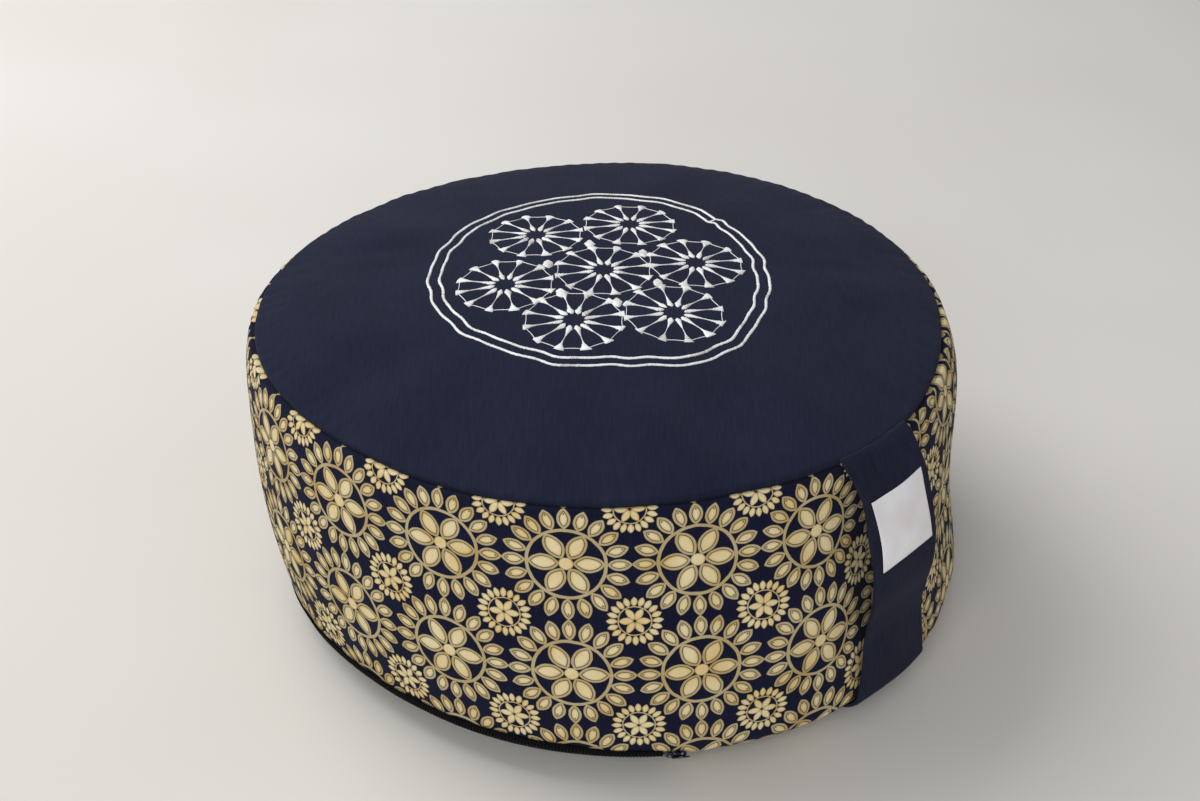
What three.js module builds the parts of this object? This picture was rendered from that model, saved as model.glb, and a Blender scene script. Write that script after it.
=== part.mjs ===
// Round meditation cushion: a filled drum of cloth with a crowned top, a bellied side band,
// a strap handle bowed out at one side, a small label on the strap and a zip in the base seam.
// Millimetres, +Z up. The origin is the middle of the flat that the cushion rests on,
// and the strap is on the +X side. Angles go round the cushion from +X towards +Y.

import * as THREE from 'three';

// Driving dimensions of the filled cushion
const RIM_LEVEL = 137; // mean height of the top seam
const LEAN = 17; // the stuffed drum has slouched: its top seam sits this far towards -X
const CROWN = 19.5; // the top panel's rise above its seam
const CROWN_POWER = 0.8; // below 1 the crown is full and turns down late, near the seam
const FLAT_RADIUS = 147; // the flat that it rests on
const BASE_SEAM_RADIUS = 159.5;
const BASE_SEAM_HEIGHT = 6;
const UNDER_HEIGHT = 1.8; // the base panel turns up this much halfway to its seam
const SEAM_ROLL = 1.8; // how much more steeply than on average the band turns in at its seams
const SEAM_DIP = 1.1; // how far the two sewn seams are drawn into the filling
const JOIN_ANGLE = 21; // degrees, where the two ends of the band are joined by an upright seam
const JOIN_DIP = 2.2;
const JOIN_HALF_WIDTH = 7; // degrees, half the width of the hollow that the join draws in

// One row for each direction around the cushion. Radii are from the leaning axis.
const OUTLINE = [
  { degrees: 0, rimRadius: 168.0, rimHeight: 136.5, shoulder: 168.5, belly: 172.0, foot: 171.5 },
  { degrees: 30, rimRadius: 164.5, rimHeight: 137.3, shoulder: 169.5, belly: 166.5, foot: 169.5 },
  { degrees: 60, rimRadius: 165.5, rimHeight: 138.0, shoulder: 169.5, belly: 168.5, foot: 168.5 },
  { degrees: 90, rimRadius: 166.0, rimHeight: 138.5, shoulder: 170.5, belly: 173.0, foot: 169.0 },
  { degrees: 120, rimRadius: 164.5, rimHeight: 138.0, shoulder: 171.0, belly: 174.5, foot: 169.5 },
  { degrees: 150, rimRadius: 163.5, rimHeight: 136.5, shoulder: 172.0, belly: 176.0, foot: 169.5 },
  { degrees: 180, rimRadius: 163.5, rimHeight: 136.0, shoulder: 173.5, belly: 177.0, foot: 169.0 },
  { degrees: 210, rimRadius: 165.0, rimHeight: 135.5, shoulder: 175.0, belly: 177.5, foot: 169.0 },
  { degrees: 240, rimRadius: 167.0, rimHeight: 136.3, shoulder: 173.5, belly: 176.3, foot: 172.0 },
  { degrees: 270, rimRadius: 164.5, rimHeight: 136.3, shoulder: 169.5, belly: 172.5, foot: 168.5 },
  { degrees: 300, rimRadius: 166.5, rimHeight: 136.5, shoulder: 168.0, belly: 173.2, foot: 170.5 },
  { degrees: 330, rimRadius: 165.5, rimHeight: 136.7, shoulder: 168.5, belly: 173.5, foot: 171.0 },
];
const FOOT_LEVEL = 0.13; // heights of the outline's columns, as shares of the rim height
const BELLY_LEVEL = 0.46;
const SHOULDER_LEVEL = 0.84;

// Soft lumps of the filling along the rim: lumps around, start in degrees, height
const RIM_LUMPS = [
  { around: 5, start: 20, height: 0.7 },
  { around: 9, start: 65, height: 0.8 },
  { around: 14, start: 10, height: 0.6 },
];
const LUMP_REACH = 0.72; // share of the top's radius where the lumps are highest

// Grid of the cushion's skin
const AROUND = 96;
const BAND_STEPS = 12;
const TOP_RINGS = [0.975, 0.94, 0.88, 0.8, 0.68, 0.52, 0.34, 0.16];
const BASE_RINGS = [0.35, 0.7, 1];

// Strap handle: a row for each height, with how far it stands off the band there, its width,
// and the direction of its middle. It is slack between its sewn ends and bows out above the belly.
const STRAP_SHAPE = [
  { height: 134, bow: 0, width: 42, degrees: -2.2 },
  { height: 117, bow: 6.8, width: 43, degrees: -2.4 },
  { height: 97, bow: 9.8, width: 43, degrees: -2.6 },
  { height: 77, bow: 8.1, width: 43, degrees: -2.6 },
  { height: 58, bow: 2.6, width: 44, degrees: -2.0 },
  { height: 44, bow: 0.3, width: 45, degrees: -1.4 },
  { height: 9, bow: 0, width: 49, degrees: -1.4 },
];
const STRAP_THICKNESS = 2;
const STRAP_FLATNESS = 0.5; // where it stands off it is nearly flat across, not curved like the band
const STRAP_STEPS = 30;
const STRAP_ACROSS = 6;
const TOUCH_GAP = 0.35; // clearance between neighbouring pieces

// Label on the strap
const LABEL_WIDTH = 34;
const LABEL_TOP = 121.5;
const LABEL_FOOT = 90.5;
const LABEL_SIDEWAYS = -1.2; // it is sewn a little off the strap's middle
const LABEL_THICKNESS = 0.8;
const LABEL_STEPS = 8;
const LABEL_SIDE_DRAW = 1; // its sides are drawn in between the corners

// Zip in the base seam
const ZIP_START_ANGLE = 212; // degrees
const ZIP_END_ANGLE = 318.5;
const ZIP_LOW = 5; // heights of the strip's edges, coil and tape together
const ZIP_HIGH = 18;
const ZIP_THICKNESS = 1.6;
const ZIP_STEPS = 44;
const ZIP_ROWS = 5;
const SLIDER_LENGTH = 9;
const SLIDER_LOW = 11;
const SLIDER_THICKNESS = 2.6;
const SLIDER_GAP = 0.6; // beyond the end of the strip

const radians = THREE.MathUtils.degToRad;

// Cubic curve through four values in a row, at a share of the way from the second to the third
function cubic(before, from, to, after, share) {
  const slopeFrom = (to - before) / 2;
  const slopeTo = (after - from) / 2;
  const bend = 3 * (to - from) - 2 * slopeFrom - slopeTo;
  const twist = 2 * (from - to) + slopeFrom + slopeTo;
  return from + share * (slopeFrom + share * (bend + share * twist));
}

// A column of the outline at any angle around the cushion
function around(column, degrees) {
  const count = OUTLINE.length;
  const place = (((degrees % 360) + 360) % 360) / (360 / count);
  const row = Math.floor(place) % count;
  const value = (step) => OUTLINE[(row + step + count) % count][column];
  return cubic(value(-1), value(0), value(1), value(2), place - Math.floor(place));
}

// Smooth hump, 1 in the middle and 0 past the given half width
function hump(distance, halfWidth) {
  const share = Math.min(1, Math.abs(distance) / halfWidth);
  return (1 + Math.cos(Math.PI * share)) / 2;
}

// Radius of the band, from the leaning axis, at a height
function bandRadius(degrees, height) {
  const rim = around('rimHeight', degrees);
  const profile = [
    { height: BASE_SEAM_HEIGHT, radius: BASE_SEAM_RADIUS },
    { height: FOOT_LEVEL * rim, radius: around('foot', degrees) },
    { height: BELLY_LEVEL * rim, radius: around('belly', degrees) },
    { height: SHOULDER_LEVEL * rim, radius: around('shoulder', degrees) },
    { height: rim, radius: around('rimRadius', degrees) },
  ];
  const joinDistance = Math.abs(((degrees - JOIN_ANGLE + 540) % 360) - 180);
  const middle = Math.sin((Math.PI * height) / rim);
  const dip = JOIN_DIP * hump(joinDistance, JOIN_HALF_WIDTH) * middle;
  return throughRows(profile, 'radius', height, SEAM_ROLL) - dip;
}

// Curve through a table's column that doesn't swing past its values. Rows are in order of height,
// and the slopes at the two ends are the neighbouring stretches' slopes times endBend.
function throughRows(rows, column, height, endBend = 1) {
  const last = rows.length - 1;
  const steep = rows.slice(1).map((row, index) => {
    return (row[column] - rows[index][column]) / (row.height - rows[index].height);
  });
  const slopes = rows.map((row, index) => {
    if (index === 0) return endBend * steep[0];
    if (index === last) return endBend * steep[last - 1];
    const product = steep[index - 1] * steep[index];
    return product <= 0 ? 0 : (2 * product) / (steep[index - 1] + steep[index]);
  });
  const direction = Math.sign(rows[last].height - rows[0].height);
  let at = 0;
  while (at < last - 1 && direction * (height - rows[at + 1].height) > 0) at += 1;
  const width = rows[at + 1].height - rows[at].height;
  const share = (height - rows[at].height) / width;
  const rest = 1 - share;
  return (
    rows[at][column] * rest * rest * (1 + 2 * share) +
    rows[at + 1][column] * share * share * (3 - 2 * share) +
    width * share * rest * (slopes[at] * rest - slopes[at + 1] * share)
  );
}

// A point at a direction and a distance from the leaning axis
function axisPoint(degrees, radius, height, axisHeight = height) {
  const angle = radians(degrees);
  const shift = (-LEAN * axisHeight) / RIM_LEVEL;
  return [shift + radius * Math.cos(angle), radius * Math.sin(angle), height];
}

// A point of the band, moved out from it by a distance
function bandPoint(degrees, height, outward = 0) {
  return axisPoint(degrees, bandRadius(degrees, height) + outward, height);
}

// A point of the top panel at a share of its radius
function topPoint(degrees, share) {
  const level = THREE.MathUtils.lerp(RIM_LEVEL, around('rimHeight', degrees), share * share);
  const rise = CROWN * Math.pow(1 - share * share, CROWN_POWER);
  const nearRim = hump(share - LUMP_REACH, 1 - LUMP_REACH);
  const lumps = RIM_LUMPS.reduce((sum, lump) => {
    return sum + lump.height * Math.sin(radians(lump.around * (degrees - lump.start)));
  }, 0);
  const radius = around('rimRadius', degrees) * share;
  return axisPoint(degrees, radius, level + rise + lumps * nearRim, level);
}

// Closed skin from rings of points, each ring around the cushion, with a point at either end
function skinFromRings(rings, lowPole, highPole) {
  const count = rings[0].length;
  const points = [lowPole, ...rings.flat(), highPole];
  const high = points.length - 1;
  const at = (ring, step) => 1 + ring * count + (step % count);
  const faces = [];
  for (let step = 0; step < count; step += 1) {
    faces.push(0, at(0, step + 1), at(0, step));
    faces.push(high, at(rings.length - 1, step), at(rings.length - 1, step + 1));
    for (let ring = 0; ring < rings.length - 1; ring += 1) {
      faces.push(at(ring, step), at(ring, step + 1), at(ring + 1, step + 1));
      faces.push(at(ring, step), at(ring + 1, step + 1), at(ring + 1, step));
    }
  }
  return closedGeometry(points, faces);
}

function closedGeometry(points, faces) {
  const geometry = new THREE.BufferGeometry();
  geometry.setAttribute('position', new THREE.Float32BufferAttribute(points.flat(), 3));
  geometry.setIndex(faces);
  geometry.computeVertexNormals();
  return geometry;
}

// Closed strip: an inner and an outer grid of points joined along their edges. Rows go down
// the cushion and columns go round it, and point(row, column, side) has side 0 inside.
function strip(rows, columns, point) {
  const points = [];
  for (const side of [0, 1]) {
    for (let row = 0; row <= rows; row += 1) {
      for (let column = 0; column <= columns; column += 1) points.push(point(row, column, side));
    }
  }
  const sheet = (rows + 1) * (columns + 1);
  const at = (row, column, side) => side * sheet + row * (columns + 1) + column;
  const faces = [];
  const quad = (a, b, c, d) => faces.push(a, c, b, a, d, c); // seen clockwise from outside
  for (let row = 0; row < rows; row += 1) {
    for (let column = 0; column < columns; column += 1) {
      const corners = (side) => [
        at(row, column, side),
        at(row, column + 1, side),
        at(row + 1, column + 1, side),
        at(row + 1, column, side),
      ];
      quad(...corners(1));
      quad(...corners(0).reverse());
    }
    quad(at(row, 0, 0), at(row, 0, 1), at(row + 1, 0, 1), at(row + 1, 0, 0));
    quad(at(row, columns, 1), at(row, columns, 0), at(row + 1, columns, 0), at(row + 1, columns, 1));
  }
  for (let column = 0; column < columns; column += 1) {
    quad(at(0, column, 0), at(0, column + 1, 0), at(0, column + 1, 1), at(0, column, 1));
    quad(at(rows, column, 1), at(rows, column + 1, 1), at(rows, column + 1, 0), at(rows, column, 0));
  }
  return closedGeometry(points, faces);
}

function piece(name, geometry, color, roughness, metalness = 0) {
  const mesh = new THREE.Mesh(geometry, new THREE.MeshStandardMaterial({ color, roughness, metalness }));
  mesh.name = name;
  return mesh;
}

// The filled cushion: flat base, undercut edge, bellied band and crowned top
function cushionGeometry() {
  const directions = Array.from({ length: AROUND }, (_, step) => (360 / AROUND) * step);
  const baseRings = BASE_RINGS.map((share) => directions.map((degrees) => {
    return axisPoint(degrees, FLAT_RADIUS * share, 0);
  }));
  const underRadius = (FLAT_RADIUS + BASE_SEAM_RADIUS) / 2 + SEAM_DIP;
  const underRing = directions.map((degrees) => axisPoint(degrees, underRadius, UNDER_HEIGHT, 0));
  const bandRings = Array.from({ length: BAND_STEPS + 1 }, (_, step) => directions.map((degrees) => {
    const share = (1 - Math.cos((Math.PI * step) / BAND_STEPS)) / 2;
    const height = THREE.MathUtils.lerp(BASE_SEAM_HEIGHT, around('rimHeight', degrees), share);
    const atSeam = step === 0 || step === BAND_STEPS;
    return bandPoint(degrees, height, atSeam ? -SEAM_DIP : 0);
  }));
  const topRings = TOP_RINGS.map((share) => directions.map((degrees) => topPoint(degrees, share)));
  return skinFromRings([...baseRings, underRing, ...bandRings, ...topRings], [0, 0, 0], topPoint(0, 0));
}

// Place on the strap: a height, a distance across it from its middle, and a lift off the place
// where its inner face would touch the band if it were not bowed out
function strapPoint(height, across, lift) {
  const middleDegrees = throughRows(STRAP_SHAPE, 'degrees', height);
  const bow = throughRows(STRAP_SHAPE, 'bow', height);
  const middle = bandRadius(middleDegrees, height);
  const turn = Math.asin(across / middle);
  const degrees = middleDegrees + THREE.MathUtils.radToDeg(turn);
  const curved = bandRadius(degrees, height);
  const flat = Math.max(curved, middle / Math.cos(turn));
  const flatness = STRAP_FLATNESS * Math.min(1, bow / STRAP_THICKNESS);
  const radius = THREE.MathUtils.lerp(curved, flat, flatness);
  return axisPoint(degrees, radius + bow + lift, height);
}

function strapGeometry() {
  const top = STRAP_SHAPE[0].height;
  const foot = STRAP_SHAPE[STRAP_SHAPE.length - 1].height;
  return strip(STRAP_STEPS, STRAP_ACROSS, (row, column, side) => {
    const height = THREE.MathUtils.lerp(top, foot, row / STRAP_STEPS);
    const across = throughRows(STRAP_SHAPE, 'width', height) * (column / STRAP_ACROSS - 0.5);
    return strapPoint(height, across, TOUCH_GAP + side * STRAP_THICKNESS);
  });
}

function labelGeometry() {
  const gap = TOUCH_GAP + STRAP_THICKNESS + TOUCH_GAP;
  return strip(LABEL_STEPS, STRAP_ACROSS, (row, column, side) => {
    const height = THREE.MathUtils.lerp(LABEL_TOP, LABEL_FOOT, row / LABEL_STEPS);
    const draw = LABEL_SIDE_DRAW * Math.sin((Math.PI * row) / LABEL_STEPS);
    const across = LABEL_SIDEWAYS + (LABEL_WIDTH - 2 * draw) * (column / STRAP_ACROSS - 0.5);
    return strapPoint(height, across, gap + side * LABEL_THICKNESS);
  });
}

// A strip that runs along the base seam between two angles, from a height up to the zip's edge
function seamStrip(startAngle, endAngle, low, rows, steps, thickness) {
  return strip(rows, steps, (row, column, side) => {
    const degrees = THREE.MathUtils.lerp(startAngle, endAngle, column / steps);
    const height = THREE.MathUtils.lerp(ZIP_HIGH, low, row / rows);
    const outward = TOUCH_GAP + side * thickness;
    if (height >= BASE_SEAM_HEIGHT) return bandPoint(degrees, height, outward);
    return axisPoint(degrees, BASE_SEAM_RADIUS + outward, height);
  });
}

function zipGeometry() {
  return seamStrip(ZIP_START_ANGLE, ZIP_END_ANGLE, ZIP_LOW, ZIP_ROWS, ZIP_STEPS, ZIP_THICKNESS);
}

function sliderGeometry() {
  const start = ZIP_END_ANGLE + THREE.MathUtils.radToDeg(SLIDER_GAP / BASE_SEAM_RADIUS);
  const end = start + THREE.MathUtils.radToDeg(SLIDER_LENGTH / BASE_SEAM_RADIUS);
  return seamStrip(start, end, SLIDER_LOW, 2, 3, SLIDER_THICKNESS);
}

const object = new THREE.Group();
object.add(
  piece('cushion', cushionGeometry(), 0x262c3e, 0.9),
  piece('handle_strap', strapGeometry(), 0x212432, 0.9),
  piece('label', labelGeometry(), 0xdfdcdc, 0.6),
  piece('zip', zipGeometry(), 0x111214, 0.6),
  piece('zip_slider', sliderGeometry(), 0x3a4250, 0.4, 0.8),
);

export default object;
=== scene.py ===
# %% [markdown]
# # A round meditation cushion
#
# The cushion is a drum of cotton filled with hulls. Its top panel is plain navy with an
# embroidered medallion, its side band is printed, a strap is sewn on as a handle and a zip
# closes the base seam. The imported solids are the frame: they say where everything is, and
# each cell below dresses one part of it. Lengths are in metres.

# %% Load the frame
import math

import bpy
import numpy as np
from mathutils import Matrix, Vector


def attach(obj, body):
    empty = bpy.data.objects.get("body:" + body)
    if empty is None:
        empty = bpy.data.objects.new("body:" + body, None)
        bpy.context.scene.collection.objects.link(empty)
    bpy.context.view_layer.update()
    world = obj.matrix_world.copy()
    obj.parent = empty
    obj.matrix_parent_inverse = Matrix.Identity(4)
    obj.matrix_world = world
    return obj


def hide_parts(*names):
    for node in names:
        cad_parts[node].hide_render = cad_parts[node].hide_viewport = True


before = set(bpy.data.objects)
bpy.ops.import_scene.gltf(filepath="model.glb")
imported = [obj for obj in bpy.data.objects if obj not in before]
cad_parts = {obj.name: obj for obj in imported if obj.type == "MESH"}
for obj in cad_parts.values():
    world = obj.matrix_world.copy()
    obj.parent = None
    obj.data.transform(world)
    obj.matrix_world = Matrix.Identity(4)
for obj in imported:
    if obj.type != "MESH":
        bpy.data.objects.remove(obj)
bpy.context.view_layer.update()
MM = 0.001
print("nodes:", sorted(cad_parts))

# %% [markdown]
# ## Small helpers
#
# A shape here is a function of two parameters, worked out on a grid of points as whole
# arrays. Each row of a grid is a closed section or a ring, so its last column joins its
# first. A tube has a cap on each end, and a drum has a fan of triangles there.

# %% Grids to meshes
def coordinates(*parts):
    """Arrays of one coordinate each, stretched to one shape and put together as points."""
    return np.stack(np.broadcast_arrays(*parts), -1)


def grid_quads(rows, columns, closed=False):
    """Four corners of each face between neighbouring rows and columns of a grid."""
    row, column = np.arange(rows - (not closed))[:, None], np.arange(columns)
    at = lambda r, c: (row + r) % rows * columns + (column + c) % columns
    return coordinates(at(0, 0), at(0, 1), at(1, 1), at(1, 0)).reshape(-1, 4)


def tube_faces(rows, columns, closed=False):
    """Faces of a grid, and a cap over its first and its last row unless they meet."""
    caps = [np.arange(columns)[None, ::-1], (rows - 1) * columns + np.arange(columns)[None]]
    return [grid_quads(rows, columns, closed)] + ([] if closed else caps)


def build(name, points, faces):
    """One smooth mesh object from an array of points and a list of face arrays."""
    mesh = bpy.data.meshes.new(name)
    mesh.from_pydata(np.asarray(points, float).reshape(-1, 3), [],
                     [corners for part in faces for corners in part.tolist()])
    mesh.polygons.foreach_set("use_smooth", np.full(len(mesh.polygons), True))
    mesh.update()
    piece = bpy.data.objects.new(name, mesh)
    bpy.context.scene.collection.objects.link(piece)
    return piece


def drum(name, grid, foot, crown):
    """Grid closed by fans to a middle point below and above, and its points and faces."""
    rows, columns = grid.shape[:2]
    ring = np.arange(columns)
    after = (ring + 1) % columns
    last = (rows - 1) * columns
    faces = [grid_quads(rows, columns), coordinates(after, ring, rows * columns),
             coordinates(last + ring, last + after, rows * columns + 1)]
    points = np.concatenate([grid.reshape(-1, 3), [foot, crown]])
    return build(name, points, faces), points, faces


def lay_uv(piece, layer, uv):
    """UV layer from one place on the cloth for each point, or for each corner of a face."""
    uv = uv.reshape(-1, 2)
    if len(uv) == len(piece.data.vertices):
        corners = np.empty(len(piece.data.loops), np.int32)
        piece.data.loops.foreach_get("vertex_index", corners)
        uv = uv[corners]
    piece.data.uv_layers.new(name=layer).data.foreach_set("uv", uv.astype(np.float32).ravel())


def dress(piece, material, slot, *nodes):
    """Gives a piece its material and body, and hides the solids that it stands for. The slot is not
    used.
    """
    piece.data.materials.append(material)
    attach(piece, "root")
    if nodes:
        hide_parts(*nodes)
    triangles = sum(len(p.vertices) - 2 for p in piece.data.polygons)
    print(f"{piece.name}: {triangles} triangles, {material.name}")


# %% [markdown]
# Materials are node trees. One function adds any node, and a value that is itself a node is
# linked from its first output. Colours are written as the sRGB hex values that a colour
# picker shows, and turned to the linear values that the renderer works in.

# %% Nodes and colours
def linear(hexadecimal):
    """Linear colour of an sRGB hex value: (s + 0.055) / 1.055 to the power 2.4 above the toe."""
    srgb = np.array([int(hexadecimal[i:i + 2], 16) for i in (1, 3, 5)]) / 255
    high = ((srgb + 0.055) / 1.055) ** 2.4
    return (*np.where(srgb <= 0.04045, srgb / 12.92, high).tolist(), 1.0)


def add(tree, kind, inputs=(), **named):
    """Adds one node. Its kind may carry an operation, as in "Math ADD". Inputs are a tuple in
    the order of the sockets, or a dict. A name with a capital is a socket, with _ for a space,
    and the other names are the node's settings."""
    kind, _, operation = kind.partition(" ")
    node = tree.nodes.new(kind if kind.startswith("Node") else "ShaderNode" + kind)
    if operation:
        node.operation = operation
    sockets = dict(inputs if isinstance(inputs, dict) else enumerate(inputs))
    for name, value in named.items():
        if name[0].isupper():
            sockets[name.replace("_", " ")] = value
        else:
            setattr(node, name, value)
    for key, value in sockets.items():
        if isinstance(value, bpy.types.Node):
            value = value.outputs[0]
        if isinstance(value, bpy.types.NodeSocket):
            tree.links.new(value, node.inputs[key])
        else:
            node.inputs[key].default_value = value
    return node


def new_material(name, finish, *details, **more):
    """Node material. Its finish adds the nodes and gives the inputs of the surface shader."""
    material = bpy.data.materials.new(name)
    material.use_nodes = True
    tree = material.node_tree
    tree.nodes.clear()
    surface = add(tree, "BsdfPrincipled", finish(tree, *details, **more))
    add(tree, "OutputMaterial", Surface=surface)
    return material


def fill_ramp(node, stops):
    """Sets the stops of a colour ramp from (position, colour) pairs."""
    elements = node.color_ramp.elements
    while len(elements) < len(stops):
        elements.new(0.5)
    for element, (position, colour) in zip(elements, stops):
        element.position, element.color = position, linear(colour)
    return node


def threads(tree, cloth, along_u, along_v, detail=2.0):
    """Noise drawn out along the threads: so many changes a metre each way of the cloth."""
    drawn_out = add(tree, "Mapping", Vector=cloth, Scale=(along_u, along_v, 1.0))
    return add(tree, "TexNoise", Vector=drawn_out, Scale=1.0, Detail=detail)


# %% [markdown]
# ## Camera
#
# The photograph fits a 50 mm lens from about 0.9 m away, a little over half a metre up and
# 43 degrees round from the front of the frame. The camera's three axes are worked out from
# those angles, with the small roll that the photograph has.

# %% Camera at the photograph's place
AZIMUTH, ELEVATION, ROLL = map(math.radians, (43.0, 32.586, 0.357))
CAMERA_PLACE = np.array([464.1, -517.3, 532.6]) * MM
right = np.array([math.cos(AZIMUTH), math.sin(AZIMUTH), 0.0])
back = np.array([right[1] * math.cos(ELEVATION), -right[0] * math.cos(ELEVATION),
                 math.sin(ELEVATION)])
up = np.cross(back, right)
axes = np.array([right * math.cos(ROLL) + up * math.sin(ROLL),
                 up * math.cos(ROLL) - right * math.sin(ROLL), back])
lens = bpy.data.cameras.new("photograph_view")
lens.lens, lens.sensor_width = 50.0, 36.0
lens.clip_start, lens.clip_end = 0.01, 20.0
camera = bpy.data.objects.new("photograph_view", lens)
bpy.context.scene.collection.objects.link(camera)
camera.matrix_world = Matrix.Translation(CAMERA_PLACE) @ Matrix(axes.T.tolist()).to_4x4()
bpy.context.scene.camera = camera
print("camera stands", round(float(np.linalg.norm(CAMERA_PLACE)), 3), "m from the origin")

# %% [markdown]
# ## The filled drum
#
# A stuffed drum is never a true cylinder: hulls settle, so this one leans a little, bellies
# out unevenly and has a softly crowned top. The table of the solids gives the outline every
# 30 degrees. From 150 to 240 degrees its rim is let out by up to 3 mm and its shoulder drawn
# in by up to 1.7 mm, as the cloth shows there. Between the rows a smooth cubic is used, and
# up the band a curve that doesn't swing past its values.

# %% Sizes of the drum
LEAN = 17 * MM  # how far the top seam has slid towards -X
RIM_LEVEL = 137 * MM
CROWN, CROWN_POWER = 19.5 * MM, 0.8
FLAT_RADIUS = 147 * MM
BASE_SEAM_RADIUS, BASE_SEAM_HEIGHT = 159.5 * MM, 6 * MM
SEAM_ROLL = 1.8  # how much steeper the band turns in at its seams
DIP_TURN, DIP_HALF_TURN = 21.0, 7.0  # degrees, an upright hollow beside the strap
DIP_DEPTH = 2.2 * MM
OUTLINE = MM * np.array([  # rim radius, rim height, shoulder, belly, foot
    (168.0, 136.5, 168.5, 172.0, 171.5),
    (164.5, 137.3, 169.5, 166.5, 169.5),
    (165.5, 138.0, 169.5, 168.5, 168.5),
    (166.0, 138.5, 170.5, 173.0, 169.0),
    (164.5, 138.0, 171.0, 174.5, 169.5),
    (162.5, 136.5, 170.3, 175.5, 169.5),
    (164.3, 136.0, 171.8, 177.0, 169.0),
    (168.0, 135.5, 173.8, 177.5, 169.0),
    (168.2, 136.3, 173.5, 176.3, 172.0),
    (164.5, 136.3, 169.5, 172.5, 168.5),
    (166.5, 136.5, 168.0, 173.2, 170.5),
    (165.5, 136.7, 168.5, 173.5, 171.0),
])
RIM_RADIUS, RIM_HEIGHT, SHOULDER, BELLY, FOOT = range(5)
LEVELS = (0.13, 0.46, 0.84)  # heights of foot, belly and shoulder as shares of the rim's
LUMPS = ((5, 20, 0.7 * MM), (9, 65, 0.8 * MM), (14, 10, 0.6 * MM))  # waves, start, height
LUMP_REACH = 0.72  # the top's lumps start this far out
print("mean rim radius in mm:", round(OUTLINE[:, RIM_RADIUS].mean() / MM, 1))


# %% Outline and profile
def smoothly(table, place, wrap=False):
    """Rows of a table at any places between them: the cubic through the four nearest rows."""
    count = len(table)
    place = place % count if wrap else np.clip(place, 1, count - 2)
    row = np.minimum(np.floor(place), count if wrap else count - 3).astype(int)
    t = (place - row).reshape(np.shape(place) + (1,) * (table.ndim - 1))
    weights = (-t + 2 * t ** 2 - t ** 3, 2 - 5 * t ** 2 + 3 * t ** 3,
               t + 4 * t ** 2 - 3 * t ** 3, t ** 3 - t ** 2)
    return sum(w * table[(row + k) % count] for k, w in zip((-1, 0, 1, 2), weights)) / 2


def around(column, degrees):
    """Outline value at any angle."""
    return smoothly(OUTLINE[:, column], np.asarray(degrees, float) / 30, wrap=True)


def through(heights, values, height, end_bend):
    """Curve through rows of values that keeps between them: cubic, with harmonic mean slopes."""
    steep = np.diff(values, axis=0) / np.diff(heights, axis=0)
    product = steep[:-1] * steep[1:]
    total = np.where(product > 0, steep[:-1] + steep[1:], 1.0)
    inner = np.where(product > 0, 2 * product / total, 0.0)
    slopes = np.concatenate([end_bend * steep[:1], inner, end_bend * steep[-1:]])
    at = (height[None] >= heights[1:-1]).sum(0)
    pick = lambda table, step=0: np.take_along_axis(table, (at + step)[None], 0)[0]
    width = pick(heights, 1) - pick(heights)
    t = (height - pick(heights)) / width
    bend = width * t * (1 - t) * (pick(slopes) * (1 - t) - pick(slopes, 1) * t)
    return (pick(values) * (1 - t) ** 2 * (1 + 2 * t)
            + pick(values, 1) * t ** 2 * (3 - 2 * t) + bend)


def hump(distance, half_width):
    """Smooth hump, 1 in the middle and 0 past its half width: half of 1 plus a cosine."""
    return (1 + np.cos(np.pi * np.minimum(1, np.abs(distance) / half_width))) / 2


def turn_from(start, degrees):
    """Angle from a start, between -180 and 180 degrees."""
    return (degrees - start + 180) % 360 - 180


def band_radius(degrees, height):
    """Band's radius from the leaning axis at a height, with the upright hollow."""
    degrees, height = np.broadcast_arrays(np.asarray(degrees, float), np.asarray(height, float))
    rim = around(RIM_HEIGHT, degrees)
    levels = [np.full_like(rim, BASE_SEAM_HEIGHT), *(share * rim for share in LEVELS), rim]
    radii = [np.full_like(rim, BASE_SEAM_RADIUS)]
    radii += [around(column, degrees) for column in (FOOT, BELLY, SHOULDER, RIM_RADIUS)]
    dip = DIP_DEPTH * hump(turn_from(DIP_TURN, degrees), DIP_HALF_TURN)
    dip = dip * np.sin(np.pi * np.clip(height / rim, 0, 1))
    return through(np.stack(levels), np.stack(radii), height, SEAM_ROLL) - dip


def from_axis(degrees, radius, height, axis_height=None):
    """Point at a direction and radius from the axis, which leans to -X as it rises."""
    angle = np.radians(degrees)
    shift = -LEAN * (height if axis_height is None else axis_height) / RIM_LEVEL
    return coordinates(shift + radius * np.cos(angle), radius * np.sin(angle), height)


# %% [markdown]
# One function covers the whole skin: its first parameter is the angle, and its second runs
# from the middle of the base (0) to the edge of the flat (1), the base seam (2), up the band
# to the top seam (3), and over the crown to the middle of the top (4).

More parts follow.
